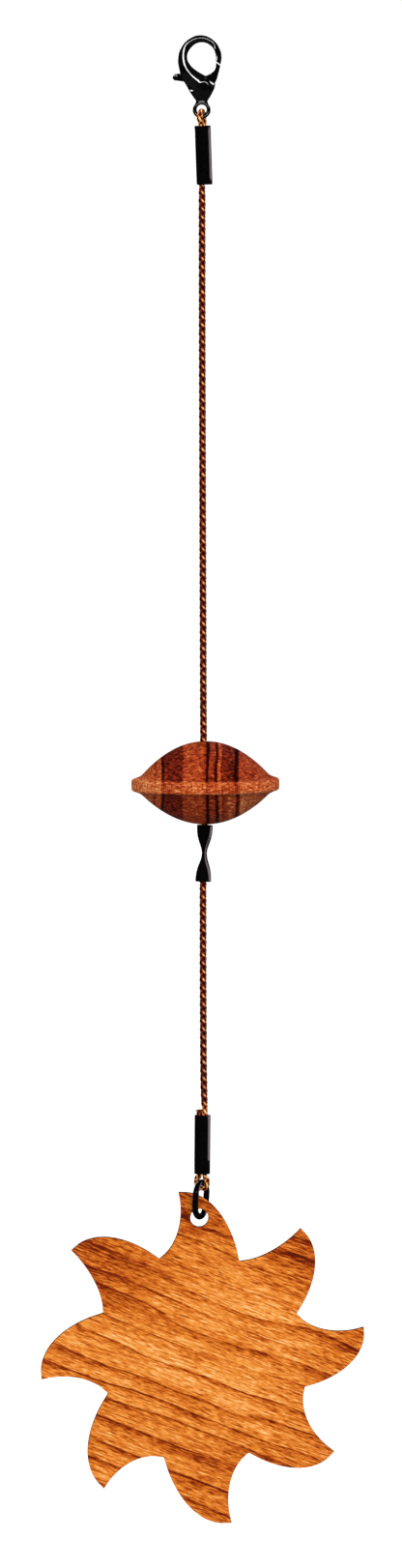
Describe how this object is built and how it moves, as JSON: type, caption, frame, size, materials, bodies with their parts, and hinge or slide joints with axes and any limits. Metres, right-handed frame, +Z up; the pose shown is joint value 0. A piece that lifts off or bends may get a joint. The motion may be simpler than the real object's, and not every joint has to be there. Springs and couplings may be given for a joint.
{
  "type": "wind chime clapper and sail",
  "caption": "Hanging pendulum line of a wind chime: a lobster clasp, braided cord, a turned wooden clapper on a pinched crimp, and a flat wooden sun sail on a wire ring.",
  "frame": {"origin": "inside top of the clasp's hook, where the line hangs, in the middle of the hook's thickness", "axes": "+Z up along the line, +X to the right seen from the front, and the front faces -Y"},
  "size_m": [0.0836, 0.0382, 0.3847],
  "materials": {
    "clasp_black": "gloss black on a casting",
    "crimp_black": "satin black",
    "braided_cord": "waxed copper-brown braid",
    "clapper_wood": "dark red-brown stain, satin",
    "sail_wood": "orange stain, satin, charred edges"
  },
  "bodies": {
    "line": {"clasp_body": "clasp_black", "clasp_rivet": "clasp_black", "upper_crimp": "crimp_black", "cord": "braided_cord", "clapper": "clapper_wood", "clapper_stop_crimp": "crimp_black", "lower_crimp": "crimp_black", "sail_ring": "crimp_black", "sun_sail": "sail_wood"},
    "lever": {"clasp_lever": "clasp_black"}
  },
  "joints": [
    {"name": "lever_swing", "type": "hinge", "parent": "line", "child": "lever", "pos_m": [0.0006, 0, -0.0112], "axis": [0, -1, 0], "range_deg": [0, 28], "stiffness_Nm_per_rad": 0.01, "springref_deg": -20.05}
  ]
}
